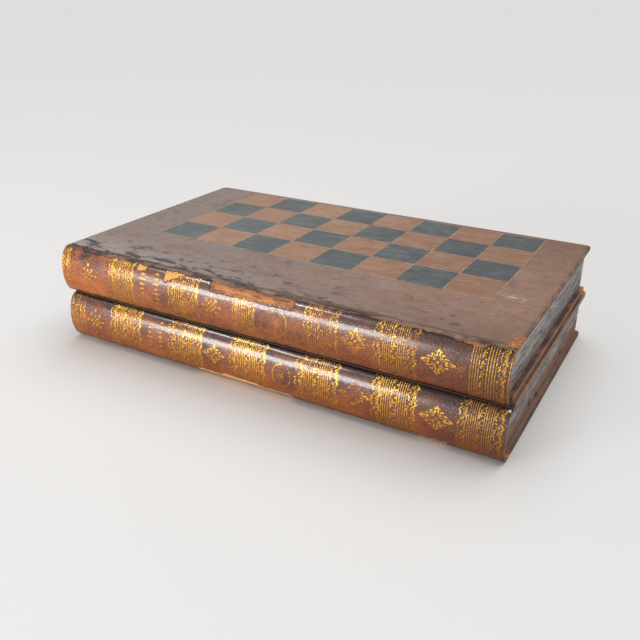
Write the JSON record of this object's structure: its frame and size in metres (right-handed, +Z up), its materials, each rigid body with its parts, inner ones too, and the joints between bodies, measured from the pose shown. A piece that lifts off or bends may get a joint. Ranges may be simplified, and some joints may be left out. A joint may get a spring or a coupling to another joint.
{
  "type": "folding book-form games box",
  "caption": "Folding games box shaped as two stacked leather books, with half a chess field on each outer board and a backgammon tray inside each volume, hinged along the back.",
  "frame": {"origin": "centre of the footprint of the shut box, on the surface it lies on", "axes": "+X along the spines to the right, -Y out of the spines to the front, +Z up"},
  "size_m": [0.4404, 0.2676, 0.0944],
  "materials": {
    "pine": "bare softwood under the leather",
    "board_leather": "matt worn mauve-brown leather",
    "dark_square": "matt slate blue-grey dyed leather",
    "light_square": "matt pinkish brown leather",
    "gilt": "thin worn gilt lines",
    "spine_leather": "polished red-brown leather, gilt tooled",
    "page_edge": "grey streaked paint like page edges",
    "rim_leather": "worn brown leather over the rim",
    "lining": "dark green leather",
    "point_light": "tan leather",
    "point_dark": "dark red leather",
    "brass": "aged brass",
    "counter_light": "polished boxwood",
    "counter_dark": "ebonised wood",
    "cup_leather": "dark brown leather",
    "bone": "bone with dark pips"
  },
  "bodies": {
    "lower_volume": {"lower_board": "pine", "lower_board_leather": "board_leather", "lower_dark_squares": "dark_square", "lower_light_squares": "light_square", "lower_field_lines": "gilt", "lower_spine_leather": "spine_leather", "lower_front_rail": "pine", "lower_back_rail": "page_edge", "lower_left_end": "page_edge", "lower_right_end": "page_edge", "lower_rim_front": "rim_leather", "lower_rim_back": "rim_leather", "lower_rim_left": "rim_leather", "lower_rim_right": "rim_leather", "lower_floor_lining": "lining", "lower_wall_lining": "lining", "lower_points_light": "point_light", "lower_points_dark": "point_dark", "hinge_left_lower_leaf": "brass", "hinge_left_pin": "brass", "hinge_right_lower_leaf": "brass", "hinge_right_pin": "brass", "hinge_screws_lower": "brass", "light_counters": "counter_light", "dark_counters": "counter_dark", "dice_cup_front": "cup_leather", "dice_cup_back": "cup_leather", "dice": "bone"},
    "upper_volume": {"upper_board": "pine", "upper_board_leather": "board_leather", "upper_dark_squares": "dark_square", "upper_light_squares": "light_square", "upper_field_lines": "gilt", "upper_spine_leather": "spine_leather", "upper_front_rail": "pine", "upper_back_rail": "page_edge", "upper_left_end": "page_edge", "upper_right_end": "page_edge", "upper_rim_front": "rim_leather", "upper_rim_back": "rim_leather", "upper_rim_left": "rim_leather", "upper_rim_right": "rim_leather", "upper_floor_lining": "lining", "upper_wall_lining": "lining", "upper_points_light": "point_light", "upper_points_dark": "point_dark", "hinge_left_upper_leaf": "brass", "hinge_right_upper_leaf": "brass", "hinge_screws_upper": "brass"}
  },
  "joints": [
    {"name": "lid_hinge", "type": "hinge", "parent": "lower_volume", "child": "upper_volume", "pos_m": [0, 0.1313, 0.0472], "axis": [-1, 0, 0], "range_deg": [0, 180]}
  ]
}
